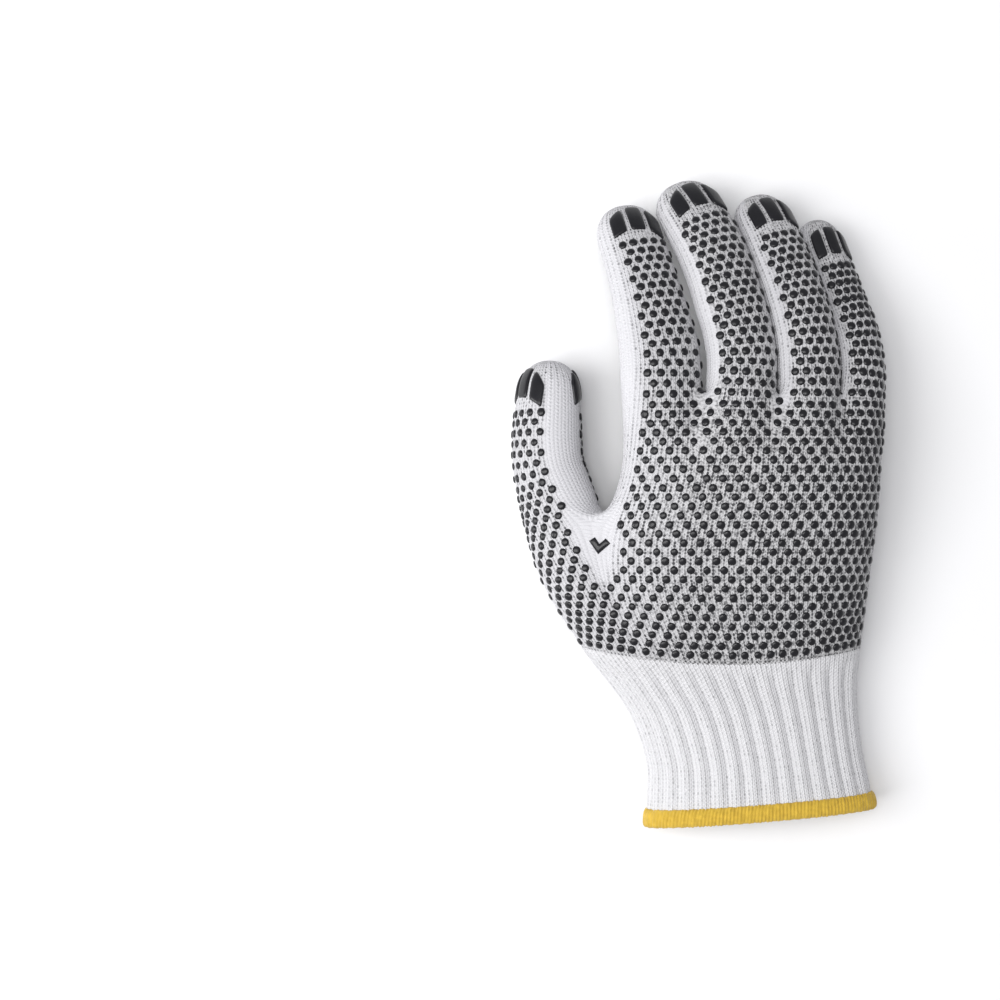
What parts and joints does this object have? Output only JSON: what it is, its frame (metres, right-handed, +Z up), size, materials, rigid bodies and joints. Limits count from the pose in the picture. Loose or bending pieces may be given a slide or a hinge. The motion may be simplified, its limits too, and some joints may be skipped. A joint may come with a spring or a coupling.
{
  "type": "dotted knit work glove",
  "caption": "Right-hand knitted work glove with raised PVC dots and fingertip bars, a ribbed elastic cuff and an overlocked hem, lying palm down.",
  "frame": {"origin": "on the floor under the middle of the glove's box, the glove lying palm down", "axes": "+Z up out of the back of the hand, +Y towards the fingertips, thumb towards -X"},
  "size_m": [0.1386, 0.2436, 0.0499],
  "materials": {
    "knit": "bleached cotton and polyester knit, matt",
    "rib": "elastic rib knit, matt",
    "hem_thread": "golden yellow overlock thread, slightly glossy",
    "print": "charcoal PVC print, semi-gloss"
  },
  "bodies": {
    "root": {"hand": "knit", "thumb": "knit", "index_finger": "knit", "middle_finger": "knit", "ring_finger": "knit", "little_finger": "knit", "cuff": "rib", "hem": "hem_thread", "bar_index_finger_back_1": "print", "bar_index_finger_back_2": "print", "bar_index_finger_back_3": "print", "bar_index_finger_palm_1": "print", "bar_index_finger_palm_2": "print", "bar_index_finger_palm_3": "print", "bar_little_finger_back_1": "print", "bar_little_finger_back_2": "print", "bar_little_finger_back_3": "print", "bar_little_finger_palm_1": "print", "bar_little_finger_palm_2": "print", "bar_little_finger_palm_3": "print", "bar_middle_finger_back_1": "print", "bar_middle_finger_back_2": "print", "bar_middle_finger_back_3": "print", "bar_middle_finger_palm_1": "print", "bar_middle_finger_palm_2": "print", "bar_middle_finger_palm_3": "print", "bar_ring_finger_back_1": "print", "bar_ring_finger_back_2": "print", "bar_ring_finger_back_3": "print", "bar_ring_finger_palm_1": "print", "bar_ring_finger_palm_2": "print", "bar_ring_finger_palm_3": "print", "bar_thumb_back_1": "print", "bar_thumb_back_2": "print", "bar_thumb_back_3": "print", "bar_thumb_palm_1": "print", "bar_thumb_palm_2": "print", "bar_thumb_palm_3": "print"}
  },
  "joints": []
}
